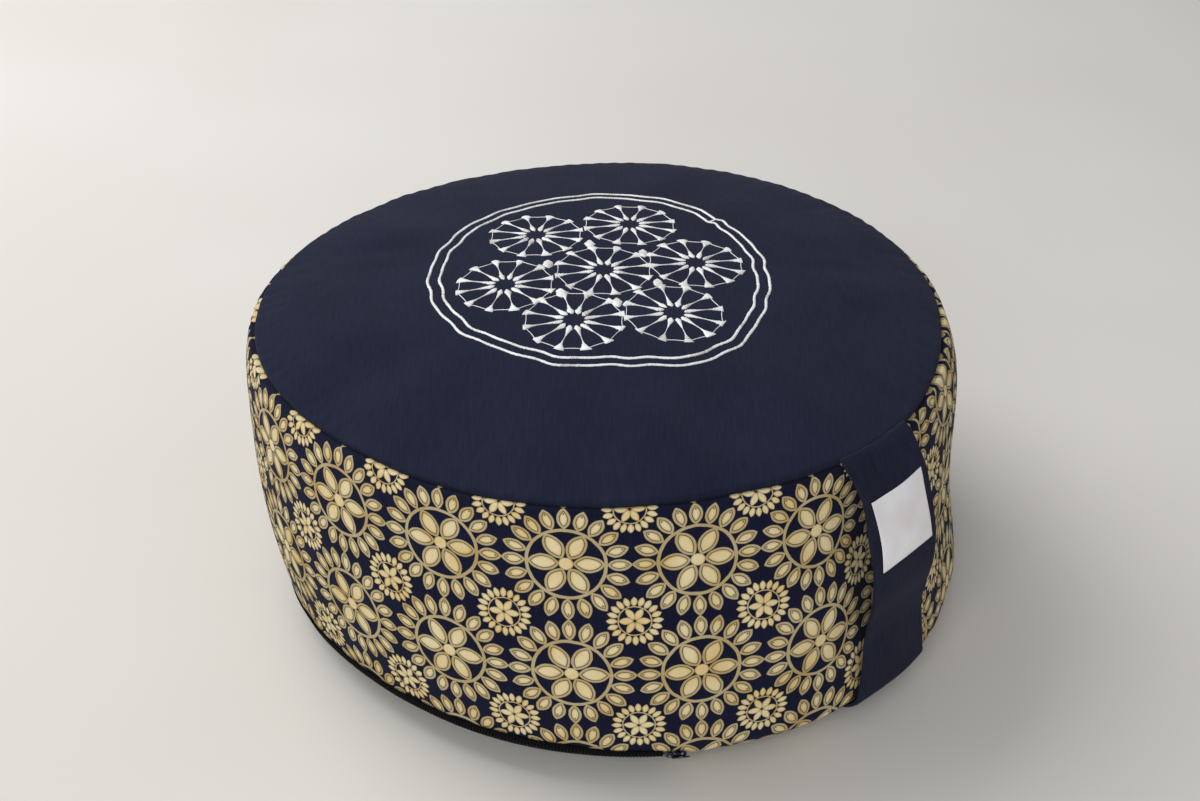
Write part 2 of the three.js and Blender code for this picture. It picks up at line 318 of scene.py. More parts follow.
# %% Skin of the drum
def skin(degrees, place):
    """Point of the skin. Base: flat, then a turned-up edge. Band: the outline's profile.
    Top: rim height blended to the mean, plus a crown of (1 - share squared) to a power."""
    degrees, place = np.broadcast_arrays(np.asarray(degrees, float), np.asarray(place, float))
    flat, turned = np.clip(place, 0, 1), np.clip(place - 1, 0, 1)
    under = from_axis(degrees, FLAT_RADIUS * flat + (BASE_SEAM_RADIUS - FLAT_RADIUS) * turned,
                      BASE_SEAM_HEIGHT * turned ** 1.74)
    rim = around(RIM_HEIGHT, degrees)
    height = BASE_SEAM_HEIGHT + (rim - BASE_SEAM_HEIGHT) * np.clip(place - 2, 0, 1)
    band = from_axis(degrees, band_radius(degrees, height), height)
    share = np.clip(4 - place, 0, 1)
    level = RIM_LEVEL + (rim - RIM_LEVEL) * share ** 2
    waves = sum(h * np.sin(np.radians(n * (degrees - start))) for n, start, h in LUMPS)
    waves = waves * hump(share - LUMP_REACH, 1 - LUMP_REACH)
    rise = CROWN * (1 - share ** 2) ** CROWN_POWER + waves
    top = from_axis(degrees, around(RIM_RADIUS, degrees) * share, level + rise, level)
    return np.choose(np.digitize(place, (2.0, 3.0))[..., None], (under, band, top))


girth = np.linalg.norm(np.diff(skin(np.arange(361), 2.5), axis=0), axis=1).sum()
print("girth at mid height in mm:", round(girth / MM))

# %% [markdown]
# ## Filling it
#
# A sewn cover takes its last bit of shape from pressure inside it. So a coarse copy of the
# skin, slightly slack, is given a Cloth modifier with pressure and no gravity. The seams and
# the base are pinned, because doubled cloth and the floor hold them. Each point may move only
# a few millimetres. What is kept of the result is how it differs around the cushion: the
# creases and lumps, while the mean profile stays as measured.

# %% Pressure in a coarse copy
SIM_STEP = 2.5  # degrees
SIM_TURNS = np.arange(0, 360, SIM_STEP)
SIM_PLACES = np.concatenate([
    np.linspace(0, 1, 6)[1:], np.linspace(1, 2, 4)[1:], np.linspace(2, 3, 22)[1:],
    np.linspace(3, 4, 20)[1:-1],
])
SLACK, MOVE_CAP = 4 * MM, 6 * MM
FRAMES = 20
COTTON_CLOTH = {
    "quality": 6, "mass": 0.3, "tension_stiffness": 15, "compression_stiffness": 15,
    "shear_stiffness": 5, "bending_stiffness": 0.6, "use_pressure": True,
    "uniform_pressure_force": 4.0, "vertex_group_mass": "seams_and_base",
}


def slack_skin():
    """The skin drawn inwards between its seams by a hump of the slack, grid of rows by turns."""
    grid = skin(SIM_TURNS, SIM_PLACES[:, None])
    inward = np.array([-LEAN / 2, 0, RIM_LEVEL / 2]) - grid
    inward /= np.linalg.norm(inward, axis=-1, keepdims=True)
    panel = np.sin(np.pi * np.clip(SIM_PLACES - 2, 0, 2)) ** 2
    return grid + inward * (SLACK * panel)[:, None, None]


def simulate_pressure(start):
    """Displacement of each grid point after 20 frames of cloth under pressure."""
    rows, columns = start.shape[:2]
    shell, _, _ = drum("slack_shell", start, (0, 0, 0), skin(0, 4.0))
    held = (SIM_PLACES <= 2.0) | (np.abs(SIM_PLACES - 3) < 0.01)
    group = shell.vertex_groups.new(name="seams_and_base")
    group.add([*np.flatnonzero(np.repeat(held, columns)).tolist(), rows * columns], 1.0, "REPLACE")
    cloth = shell.modifiers.new("pressure", "CLOTH")
    for setting, value in COTTON_CLOTH.items():
        setattr(cloth.settings, setting, value)
    cloth.settings.effector_weights.gravity = 0
    cloth.collision_settings.use_collision = False
    cloth.point_cache.frame_start, cloth.point_cache.frame_end = 1, FRAMES
    for number in range(1, FRAMES + 1):
        bpy.context.scene.frame_set(number)
    filled = shell.evaluated_get(bpy.context.evaluated_depsgraph_get()).data
    moved = np.empty(3 * len(filled.vertices), np.float32)
    filled.vertices.foreach_get("co", moved)
    bpy.context.scene.frame_set(1)
    mesh = shell.data
    bpy.data.objects.remove(shell)
    bpy.data.meshes.remove(mesh)
    return moved.reshape(-1, 3)[: rows * columns].reshape(start.shape) - start


def creases(moved):
    """Capped displacement less its mean round each row, so that only its unevenness is left."""
    length = np.linalg.norm(moved, axis=-1, keepdims=True)
    moved = moved * np.minimum(1, MOVE_CAP / np.maximum(length, 1e-9))
    angle = np.radians(SIM_TURNS)
    out = moved[..., 0] * np.cos(angle) + moved[..., 1] * np.sin(angle)
    parts = coordinates(out, moved[..., 2])
    return parts - parts.mean(1, keepdims=True)


uneven = np.zeros((len(SIM_PLACES), len(SIM_TURNS), 2))
uneven = creases(simulate_pressure(slack_skin()))
print("creases and lumps, mm:", np.round(np.abs(uneven).max((0, 1)) / MM, 2), "outward and up")

# %% [markdown]
# ## The sewn skin in detail
#
# The finished skin is a much finer grid, with its rows and columns packed close at the seams.
# Four things are added to it: the unevenness from the pressure, a narrow groove where two
# panels meet, small gathers that run out from each seam, and welts beside it, where the
# turned edges lie underneath. The top panel also rolls over before it meets the band.

# %% Finer grid
BAND_SEAM = 7.5  # degrees, where the band's two ends are sewn together beside the strap
SEAM_SLANT = 2.0  # degrees that this seam leans forwards at its foot and back at its top
BAND_LENGTH, TOP_LENGTH = 131 * MM, 166 * MM
NEAR_SEAM = 0.3 * MM * np.array([0, 1, 2, 3, 4.3, 6, 8.5, 12, 17, 23])
NEAR_JOIN = np.array([0, 0.1, 0.2, 0.32, 0.5, 0.75, 1.1, 1.6])  # degrees


def packed(length, step, near):
    """Distances from 0 to a length, close together near both ends and a step apart between."""
    count = round((length - 2 * near[-1]) / step)
    middle = np.linspace(near[-1], length - near[-1], count + 1)
    return np.concatenate([near[:-1], middle, (length - near[:-1])[::-1]])


TURNS = BAND_SEAM + packed(360, 0.62, NEAR_JOIN)[:-1]
PLACES = np.concatenate([
    [0.02, 0.15, 0.4, 0.65, 0.82, 0.92, 0.97, 1.0, 1.12, 1.25, 1.4, 1.55, 1.7, 1.82, 1.9, 1.96],
    2 + packed(BAND_LENGTH, 2.5 * MM, NEAR_SEAM) / BAND_LENGTH,
    3 + packed(TOP_LENGTH, 2.7 * MM, NEAR_SEAM)[1:-9] / TOP_LENGTH, [3.985],
])
BASE_SEAM_ROW, TOP_SEAM_ROW = (int(np.argmin(np.abs(PLACES - place))) for place in (2, 3))
from_join = turn_from(BAND_SEAM, TURNS)
slant = SEAM_SLANT * np.interp(PLACES, (1.0, 2.0, 3.0, 3.3), (0, 1, -1, 0))
turn_grid = TURNS + slant[:, None] * hump(from_join, 30)
sim_rows = np.interp(PLACES, SIM_PLACES, np.arange(len(SIM_PLACES)))
uneven_fine = smoothly(uneven, sim_rows).swapaxes(0, 1)
uneven_fine = smoothly(uneven_fine, TURNS / SIM_STEP, wrap=True).swapaxes(0, 1)
uneven_fine *= (np.clip(PLACES - 1.9, 0, 1) * np.clip(4 - PLACES, 0, 0.4) / 0.4)[:, None, None]
print("skin grid:", len(PLACES), "rows by", len(TURNS), "columns")

# %% Grooves, gathers and welts
GROOVE_DEPTH, GROOVE_WIDTH = 2.6 * MM, 1.3 * MM  # the panels' turned edges go down this far
SEAM_PULL = 1.5 * MM  # the top panel rolls over this far before it meets the band
ROLL_ON_TOP, ROLL_ON_BAND = 7 * MM, 2.5 * MM
GATHER_HEIGHT, GATHER_REACH = 0.28 * MM, 11 * MM
WELT_HEIGHT, WELT_PLACE, WELT_WIDTH = 0.35 * MM, 3.2 * MM, 2.2 * MM
rng = np.random.default_rng(7)


def wander(low, high, count=9):
    """Irregular wave round the cushion: a sum of sines of whole numbers of waves."""
    waves = rng.integers(low, high, count)
    starts = rng.uniform(0, 2 * np.pi, count)
    swings = rng.uniform(0.4, 1.0, count) / math.sqrt(count)
    return (swings * np.sin(np.radians(TURNS)[:, None] * waves + starts)).sum(-1)


def run_along(points):
    """Length along a path, or along each column of a grid, from its first row."""
    steps = np.linalg.norm(np.diff(points, axis=0), axis=-1)
    return np.concatenate([0 * steps[:1], np.cumsum(steps, axis=0)])


def fade(distance, reach, power=1):
    """Falls from 1 to nothing with distance: e to the minus (distance by reach) to a power."""
    return np.exp(-(np.abs(distance) / reach) ** power)


upward = np.array([0, 0, 1.0])
angle = np.radians(turn_grid)
outward = coordinates(np.cos(angle), np.sin(angle), 0)
points = skin(turn_grid, PLACES[:, None])
points = points + outward * uneven_fine[..., :1] + upward * uneven_fine[..., 1:]
normals = np.cross(np.roll(points, -1, 1) - np.roll(points, 1, 1), np.gradient(points, axis=0))
normals /= np.maximum(np.linalg.norm(normals, axis=-1, keepdims=True), 1e-12)
length = run_along(points)
from_top, from_base = (length - length[row] for row in (TOP_SEAM_ROW, BASE_SEAM_ROW))
gathers = wander(55, 130) * fade(from_top, GATHER_REACH)
gathers = gathers + wander(50, 110) * fade(from_base, GATHER_REACH)
clear = 1 - fade(np.minimum(np.abs(from_top), np.abs(from_base)), 2 * MM, 2)
relief = GATHER_HEIGHT * gathers * clear
for distance in (from_top, from_base):
    relief += WELT_HEIGHT * fade(np.abs(distance) - WELT_PLACE, WELT_WIDTH, 2)
relief -= SEAM_PULL * fade(from_top, np.where(from_top > 0, ROLL_ON_TOP, ROLL_ON_BAND))
relief[PLACES <= 1.0] = 0
seam_line = wander(12, 40) * 0.3 * MM * fade(from_top, 12 * MM)
points = points + normals * relief[..., None] + upward * seam_line[..., None]
ways = (outward + upward) / math.sqrt(2), outward - 0.3 * upward
for distance, way in zip((from_top, from_base), ways):
    points = points - GROOVE_DEPTH * fade(distance, GROOVE_WIDTH, 2)[..., None] * way
print("groove depth mm:", GROOVE_DEPTH / MM, "gathers mm:", round(np.abs(relief).max() / MM, 2))

# %% [markdown]
# The upright join in the band is a plain seam pressed flat: a fine crease with its two
# layers turned under on one side, so that side stands a little prouder. Behind the strap the
# band is hollow, because hands push the hulls away there, and it swells out beside it.

# %% Upright join, hollow behind the strap, resting base
STRAP_TURN, STRAP_HALF_TURN = -3.5, 11.5  # degrees
STRAP_HOLLOW, STRAP_SWELL = 6 * MM, 1.8 * MM
CREASE_DEPTH, LAYERS_HEIGHT = 0.9 * MM, 0.35 * MM
on_band = np.clip((PLACES - 2) * 30, 0, 1) * np.clip((3 - PLACES) * 30, 0, 1)
join = LAYERS_HEIGHT * fade(from_join - 2.0, 1.6, 2) - CREASE_DEPTH * fade(from_join, 0.22, 2)
points = points + normals * (join * on_band[:, None])[..., None]
from_strap = turn_from(STRAP_TURN, turn_grid)
up_band = np.sin(np.pi * np.clip(PLACES - 2, 0, 1))[:, None]
hollow = STRAP_HOLLOW * hump(from_strap, STRAP_HALF_TURN) * up_band ** 0.7
swell = STRAP_SWELL * hump(from_strap + 1.6 * STRAP_HALF_TURN, 0.9 * STRAP_HALF_TURN) * up_band
points = points - normals * (hollow - swell)[..., None]
points[..., 2] = np.maximum(points[..., 2], 0.0)
points[PLACES <= 1.0, :, 2] = 0.0
print("height mm:", round(points[..., 2].max() / MM, 1))

# %% [markdown]
# ## Where the print lies
#
# Printed cloth keeps its pattern square to its own threads, not to the cushion. The UV map
# holds flat cloth coordinates, in metres: on the band, length along the strip and distance
# down from the top seam; on the top and base, plain position. A face at the join has its
# right-hand corners one whole girth on, so that the strip ends there, with the pattern cut
# through, as sewn cloth does.

# %% Flat cloth coordinates
REPEAT = 55 * MM  # distance from flower to flower, both ways
DOWN_START, DOWN_STEP, DOWN_GROWTH = 1.31, 49.52, 1.465  # millimetres
TURN_START, TURN_STEP, SKEW, SKEW_GROWTH = -52.43, 18.59, 0.619, 0.26  # degrees
PULLED = (0.39, 0.32)  # repeats that the far end of the strip lies off its own row, each way
RIB_ANGLE = 43.0  # degrees, across the rib of the top and base panels


def strip_coordinates(turns, down):
    """Cloth place on the band, in repeats u along it and v down it. Down in millimetres is
    start + step v + growth v squared. Turn is start + step u - v (skew + growth u), as the
    cloth is cut a little askew. Across the back it is pulled to where its end is."""
    down = np.maximum(down / MM - DOWN_START, -200)
    v = (np.sqrt(DOWN_STEP ** 2 + 4 * DOWN_GROWTH * down) - DOWN_STEP) / (2 * DOWN_GROWTH)
    u = (turns - TURN_START) / TURN_STEP
    for _ in range(3):
        u = (turns - TURN_START + v * (SKEW + SKEW_GROWTH * np.clip(u, -4, 1.5))) / TURN_STEP
    back = np.clip((-150 - turns) / 150, 0, 1)
    back = back ** 2 * (3 - 2 * back)
    return coordinates(u + PULLED[0] * back, v + PULLED[1] * back) * REPEAT


# %% Cushion mesh
TOP, BAND, BASE = range(3)  # the materials of the three panels
columns = len(TURNS)
top_middle = points[-1].mean(0) + 0.02 * MM * upward
cushion, all_points, (quads, *fans) = drum("cushion_cover", points, (0, 0, 0), top_middle)
rib_cos, rib_sin = math.cos(math.radians(RIB_ANGLE)), math.sin(math.radians(RIB_ANGLE))
plan = all_points[:, :2] @ np.array([[rib_cos, -rib_sin], [rib_sin, rib_cos]])
row, column = quads // columns, quads % columns
on_strip = (row.min(1) >= BASE_SEAM_ROW) & (row.max(1) <= TOP_SEAM_ROW)
past_join = (column == 0) & (column.max(1, keepdims=True) == columns - 1)
turn = turn_grid[row, column] - np.where(past_join, 0, 360)
strip = strip_coordinates(turn, -from_top[row, column])
uv = [np.where(on_strip[:, None, None], strip, plan[quads]), *(plan[fan] for fan in fans)]
lay_uv(cushion, "flat_cloth", np.concatenate([part.reshape(-1, 2) for part in uv]))
panel = np.select([on_strip, row.min(1) < BASE_SEAM_ROW], [BAND, BASE], TOP)
panel = np.concatenate([panel, np.full(columns, BASE), np.full(columns, TOP)])
print("cover faces of top, band and base:", np.bincount(panel).tolist())

# %% [markdown]
# ## Woven cotton
#
# All three panels are matt cotton. A real cloth of this kind has a thread every 0.3 mm, which
# is finer than a picture this size can hold, so the rib is drawn at 1.3 mm and kept faint.
# Slubs, which are thicker stretches of thread, streak it, and the dye is never quite even.
# The colour can be handed in by a pattern, as for the printed band.

# %% Cotton material
COTTON_RIB = 1.3 * MM
WAVE = math.pi / 10  # a wave texture of scale 1 repeats every this many metres


def cotton(tree, colour, worn, bump=0.25, paint=None):
    """Matt woven cotton, with almost no shine. Its dye varies in patches of 45 mm and along
    slubs, which are drawn 1.1 mm wide, and its height is a rib, a weft across it and slubs."""
    cloth = add(tree, "UVMap", uv_map="flat_cloth")
    patches = add(tree, "TexNoise", Vector=cloth, Scale=22.0, Detail=4.0)
    slubs = threads(tree, cloth, 900.0, 90.0, 3.0)
    dye = add(tree, "Math ADD", (patches, slubs))
    dye = add(tree, "MapRange", Value=dye, From_Min=0.72, From_Max=1.28)
    tone = add(tree, "Mix", {0: dye, 6: linear(colour), 7: linear(worn)}, data_type="RGBA")
    tone = tone.outputs[2]
    if paint:
        tone = paint(tree, cloth, tone)
    weave = [add(tree, "TexWave", Vector=cloth, Scale=WAVE / COTTON_RIB, Distortion=0.6,
                 Detail=2.0, bands_direction=way) for way in "XY"]
    height = add(tree, "Math ADD", (add(tree, "Math ADD", weave), slubs))
    relief = add(tree, "Bump", Height=height, Strength=bump, Distance=0.25 * MM)
    return {"Base Color": tone, "Roughness": 0.95, "Specular IOR Level": 0.06,
            "Sheen Weight": 0.03, "Sheen Roughness": 0.5, "Normal": relief}


# %% [markdown]
# ## The print
#
# The band is printed in cream on navy with flower wheels, set square, and small rosettes in
# the gaps between them. Every shape is made of the same thing: a ring of pointed petals. A
# petal is the overlap of two circles, so a point's distance inside it is the circle's radius
# less the distance to the circle's centre. Folding the angle makes one petal into a ring.

# %% A ring of petals as a node group
def petal_group():
    """Group: folded = pingpong(angle, half step), (a, b) = (r cos folded - middle, r sin folded
    + sunk), inside = circle - |(a, b)|. Everything is in millimetres."""
    group = bpy.data.node_groups.new("petal_ring", "ShaderNodeTree")
    for name in ("Angle", "Radius", "Half step", "Middle", "Circle", "Sunk"):
        group.interface.new_socket(name, in_out="INPUT", socket_type="NodeSocketFloat")
    group.interface.new_socket("Inside", in_out="OUTPUT", socket_type="NodeSocketFloat")
    angle, radius, half_step, middle, circle, sunk = add(group, "NodeGroupInput").outputs[:6]
    folded = add(group, "Math PINGPONG", (angle, half_step))
    along = add(group, "Math MULTIPLY", (radius, add(group, "Math COSINE", (folded,))))
    along = add(group, "Math SUBTRACT", (along, middle))
    aside = add(group, "Math MULTIPLY_ADD", (radius, add(group, "Math SINE", (folded,)), sunk))
    place = add(group, "CombineXYZ", (along, aside))
    reach = add(group, "VectorMath LENGTH", (place,)).outputs["Value"]
    add(group, "NodeGroupOutput", Inside=add(group, "Math SUBTRACT", (circle, reach)))
    return group


PETALS = petal_group()


def petals(tree, angle, radius, count, first, last, width):
    """Distance inside the nearest of a ring of petals that reach from one radius to another."""
    half_length, half_width = (last - first) / 2, width / 2
    circle = (half_length ** 2 + half_width ** 2) / (2 * half_width)
    return add(tree, "Group", Angle=angle, Radius=radius, Half_step=math.pi / count,
               Middle=(first + last) / 2, Circle=circle, Sunk=circle - half_width,
               node_tree=PETALS)


# %% [markdown]
# The colours follow from the distance inside a shape. A large petal has a taupe outline, a
# thin dark line and a cream fill that is lightest in the middle; a small one is filled. Real
# block printing is never even, so a noise moves the edges by a fraction of a millimetre and
# another one takes the cream towards gold.

# %% Colours of the print
HALF_REPEAT = REPEAT / MM / 2
PRINT_SHIFT = -0.45  # millimetres, half of what the noise moves the edges by
LARGE_INK = [(0.0, "#A3977A"), (0.08, "#BDAF88"), (0.25, "#B3A57E"), (0.28, "#5A5040"),
             (0.335, "#5A5040"), (0.385, "#D4C499"), (0.62, "#E6D8B0")]
SMALL_INK = [(0.0, "#A1957A"), (0.25, "#C9BA90"), (0.7, "#E6D8AE")]
WASH = [(0.42, "#FBF8F2"), (0.75, "#EDD9AE")]


def polar(tree, place, shift):
    """Angle and radius about the nearest point of a square lattice that is moved by a shift."""
    moved = add(tree, "VectorMath ADD", (place, (shift[0], shift[1], 0)))
    local = add(tree, "VectorMath WRAP", (moved, (HALF_REPEAT,) * 3, (-HALF_REPEAT,) * 3))
    x, y, _ = add(tree, "SeparateXYZ", (local,)).outputs
    radius = add(tree, "VectorMath LENGTH", (local,)).outputs["Value"]
    return add(tree, "Math ARCTAN2", (y, x)), radius


def ring_print(tree, radius, at, half_width):
    """Distance inside a ring line: half its width less how far the radius is from its own."""
    off = add(tree, "Math ABSOLUTE", (add(tree, "Math SUBTRACT", (radius, at)),))
    return add(tree, "Math SUBTRACT", (half_width, off))


def widest(tree, first, *others):
    """Largest of several distances, which joins their shapes."""
    for distance in others:
        first = add(tree, "Math MAXIMUM", (first, distance))
    return first


def flower_print(tree, cloth, ground):
    """Colour of the printed band: wheels of 6 and 20 outlined petals round a ring, with small
    rosettes of 6 and 20 filled petals between them, every 55 mm both ways."""
    shake = add(tree, "TexNoise", Vector=cloth, Scale=160.0, Detail=2.0).outputs[1]
    place = add(tree, "VectorMath MULTIPLY", (cloth, (1 / MM,) * 3))
    place = add(tree, "VectorMath MULTIPLY_ADD", (shake, (0.9, 0.9, 0), place))
    angle, radius = polar(tree, place, (PRINT_SHIFT, PRINT_SHIFT + HALF_REPEAT))
    outlined = widest(tree, petals(tree, angle, radius, 6, 2.8, 16.4, 8.3),
                      petals(tree, angle, radius, 20, 17.2, 27.7, 5.9),
                      ring_print(tree, radius, 16.7, 0.75))
    specks = petals(tree, angle, radius, 20, 24.3, 25.5, 0.85)
    disc = add(tree, "Math SUBTRACT", (3.1, radius))
    angle, radius = polar(tree, place, (PRINT_SHIFT + HALF_REPEAT, PRINT_SHIFT))
    filled = widest(tree, disc, petals(tree, angle, radius, 6, 0.5, 6.8, 3.2),
                    petals(tree, angle, radius, 20, 7.2, 12.0, 2.7),
                    ring_print(tree, radius, 7.0, 0.3))
    quarter = add(tree, "Math MULTIPLY", (outlined, 0.25))
    large = fill_ramp(add(tree, "ValToRGB", (quarter,)), LARGE_INK)
    small = fill_ramp(add(tree, "ValToRGB", (filled,)), SMALL_INK)
    cover_large, cover_small = (add(tree, "MapRange", Value=distance, From_Min=-0.12, From_Max=0.12)
                                for distance in (outlined, filled))
    wash = add(tree, "TexNoise", Vector=cloth, Scale=55.0, Detail=3.0)
    wash = fill_ramp(add(tree, "ValToRGB", (wash,)), WASH)
    speck = add(tree, "MapRange", Value=specks, From_Min=-0.1, From_Max=0.15, To_Max=0.8)
    cover = add(tree, "Math MAXIMUM", (cover_large, cover_small))
    ink = large
    for factor, colour, blend in ((cover_small, small, "MIX"), (1.0, wash, "MULTIPLY"),
                                  (speck, linear("#4A4034"), "MIX")):
        ink = add(tree, "Mix", {0: factor, 6: ink, 7: colour}, data_type="RGBA",
                  blend_type=blend).outputs[2]
    return add(tree, "Mix", {0: cover, 6: ground, 7: ink}, data_type="RGBA").outputs[2]


# %% Cotton on the cover
navy = new_material("navy_cotton", cotton, "#1B1E2F", "#232638", bump=0.15)
dress(cushion, navy, "top_cloth", "cushion")
cushion.data.materials.append(
    new_material("printed_navy_cotton", cotton, "#121427", "#191C32", bump=0.2, paint=flower_print))
cushion.data.materials.append(new_material("navy_cotton_base", cotton, "#181A26", "#232530"))
cushion.data.polygons.foreach_set("material_index", panel.astype(np.int32))

# %% [markdown]
# ## Embroidery
#
# The medallion is satin stitch: bright thread laid side by side across each line, over and
# over, so a line stands up as a rounded rib with a ridge for each stitch. Real ridges are
# 0.4 mm apart; they are drawn at 0.9 mm. Its figures are a double ring and seven rosettes of
# twelve rays, one in the middle and six round it on a lattice of equal triangles. A line is
# a path with a width at each point, drawn flat and then laid on the crown.

# %% Laying flat work on the crown
top_grid = np.concatenate([points[TOP_SEAM_ROW:], np.broadcast_to(top_middle, (1, columns, 3))])
top_places = np.append(PLACES[TOP_SEAM_ROW:], 4.0)


def read_grid(grid, row, column):
    """Grid values between its points, by linear steps both ways. Columns go once round."""
    r, c = np.clip(np.floor(row), 0, len(grid) - 2).astype(int), np.floor(column).astype(int)
    t, s = (row - r)[..., None], (column - c)[..., None]
    step = lambda i: grid[r + i, c % columns] * (1 - s) + grid[r + i, (c + 1) % columns] * s
    return step(0) * (1 - t) + step(1) * t


def heading(degrees):
    """Unit vectors in plan at angles."""
    return coordinates(np.cos(np.radians(degrees)), np.sin(np.radians(degrees)))


def lay_on_crown(plan, lift):
    """Points at plan places from the crown's middle, lifted off the cloth along its normal."""
    degrees = np.degrees(np.arctan2(plan[..., 1], plan[..., 0]))
    share = np.hypot(plan[..., 0], plan[..., 1]) / around(RIM_RADIUS, degrees)
    row = np.interp(4 - share, top_places, np.arange(len(top_places)))
    turn = BAND_SEAM + (degrees - BAND_SEAM) % 360
    column = np.interp(turn, np.append(TURNS, TURNS[0] + 360), np.arange(columns + 1))
    slope = (1.4 * CROWN / RIM_LEVEL * share)[..., None] * heading(degrees)
    tilt = coordinates(slope[..., 0], slope[..., 1], 1.0)
    tilt = tilt / np.linalg.norm(tilt, axis=-1, keepdims=True)
    return read_grid(top_grid, row, column) + tilt * lift[..., None]


# %% Satin stitch along a path
STITCH, STITCH_SLANT = 0.9 * MM, 0.35 * MM
LOOK = 0.3 * MM  # a path's way is taken from this far behind a point to this far ahead
RIBBON = np.array([(-1.0, -0.25), (-0.92, 0.35), (-0.5, 0.85), (0.0, 1.0), (0.5, 0.85),
                   (0.92, 0.35), (1.0, -0.25)])  # across and up


def satin(plan, widths, thickness=0.75 * MM, closed=False, step=0.45 * MM):
    """Grid of points of a rounded rib along a path: rows along it, columns across. Its height
    and width have a ridge every stitch, and each stitch's width is a little different."""
    if closed:
        plan, widths = np.concatenate([plan, plan[:1]]), np.append(widths, widths[0])
    run = run_along(plan)
    count = max(4, round(run[-1] / step))
    at = np.linspace(0, run[-1], count + 1)[: count + (not closed)]
    follow = lambda at: coordinates(*(np.interp(at, run, plan[:, i]) for i in (0, 1)))
    way = follow(at + LOOK) - follow(at - LOOK)
    way /= np.maximum(np.linalg.norm(way, axis=1, keepdims=True), 1e-9)
    side = coordinates(-way[:, 1], way[:, 0])
    stitch = np.floor(at / STITCH).astype(int)
    uneven_width = 1 + 0.16 * rng.uniform(-1, 1, stitch.max() + 2)[stitch]
    ridge = np.sin(np.pi * (at / STITCH % 1))
    half = np.interp(at, run, widths) / 2 * uneven_width * (0.9 + 0.14 * ridge)
    rise = np.minimum(thickness, 0.35 * MM + half * 0.4) * (0.62 + 0.38 * ridge)
    across = half[:, None] * RIBBON[:, 0]
    slanted = STITCH_SLANT * RIBBON[:, :1]
    flat = follow(at)[:, None] + side[:, None] * across[..., None] + way[:, None] * slanted
    start = rng.uniform(0, 3)  # metres along the reel, so that each line has its own tone
    run_uv = coordinates(start + at[:, None], across)
    return lay_on_crown(flat, rise[:, None] * RIBBON[:, 1]), run_uv, closed


def join_ribs(name, ribs):
    """One mesh from many ribs. An open rib's ends are capped."""
    first, faces = 0, []
    for grid, _, closed in ribs:
        faces += [first + part[:, ::-1] for part in tube_faces(*grid.shape[:2], closed)]
        first += grid.size // 3
    piece = build(name, np.concatenate([grid.reshape(-1, 3) for grid, _, _ in ribs]), faces)
    lay_uv(piece, "thread_run", np.concatenate([run.reshape(-1, 2) for _, run, _ in ribs]))
    return piece


# %% Silver thread
def silver_thread(tree):
    """Bright twisted rayon: a soft gloss, fine lines across each rib, slightly uneven tone."""
    run = add(tree, "UVMap", uv_map="thread_run")
    strands = threads(tree, run, 1400.0, 120.0)
    broad = add(tree, "TexNoise", Vector=run, Scale=70.0)
    fine = add(tree, "Math MULTIPLY", (strands, 0.4))
    both = add(tree, "Math MULTIPLY_ADD", (broad, 0.6, fine))
    tone = fill_ramp(add(tree, "ValToRGB", (both,)),
                     [(0.36, "#B8B3AA"), (0.5, "#F0EFEC"), (0.66, "#FFFFFD")])
    relief = add(tree, "Bump", Height=strands, Strength=0.5, Distance=0.12 * MM)
    return {"Base Color": tone, "Roughness": 0.42, "Specular IOR Level": 0.5,
            "Sheen Weight": 0.15, "Normal": relief}


# %% Figures of the medallion
ROSETTES = MM * np.array([  # middles, from the crown's middle; the first is the central one
    (1.8, -1.3), (51.5, -7.1), (27.6, 36.2), (-23.7, 45.2), (-49.5, 4.3), (-23.5, -42.3),
    (23.0, -43.8),
])
STRETCH_ANGLE = 57.0  # degrees
STRETCH = (0.985, 1.03)  # the cloth draws the figures in along that angle and out across it
FIRST_RAY = 56.5  # degrees
RAY = MM * np.array([  # distance along a ray and its width there
    (5.1, 0.9), (6.1, 2.5), (7.5, 2.9), (9.4, 1.9), (11.6, 1.0), (13.6, 0.42), (17.0, 0.38),
    (19.0, 1.1), (20.8, 2.4), (22.4, 3.9), (23.6, 4.9), (24.0, 5.0),
])
ARC_RADIUS, ARC_BOW, ARC_WIDTH = 23.0 * MM, 0.9 * MM, 0.4 * MM
DOT_HALF, DOT_SHIFT, DOT_WIDTH = 3.6, -2.9, 5.0  # millimetres
RING_START = 89.0  # degrees, where the ring's ends meet a little out of line
RING_TURNS = np.concatenate([[0, 3.7], np.arange(8, 349, 10), [353, 357.8]])  # on from the start
RING_RADII = MM * np.array([
    82.0, 84.1, 87.0, 88.7, 89.7, 90.7, 92.0, 89.3, 88.9, 87.5, 87.1, 85.8, 84.3, 83.6, 83.3,
    83.3, 83.4, 83.7, 83.8, 84.1, 82.9, 82.7, 84.6, 83.8, 82.8, 85.2, 89.2, 90.2, 88.6, 85.1,
    82.1, 80.6, 79.7, 79.0, 79.8, 80.5, 81.3, 82.4, 85.2,
])
RING_WAVES = ((19, 0.42, 10), (31, 0.3, 80))  # waves round it, height in millimetres, start
RING_GAP = 5.7 * MM  # from the outer line to the inner one
RING_WIDTH = 1.45 * MM


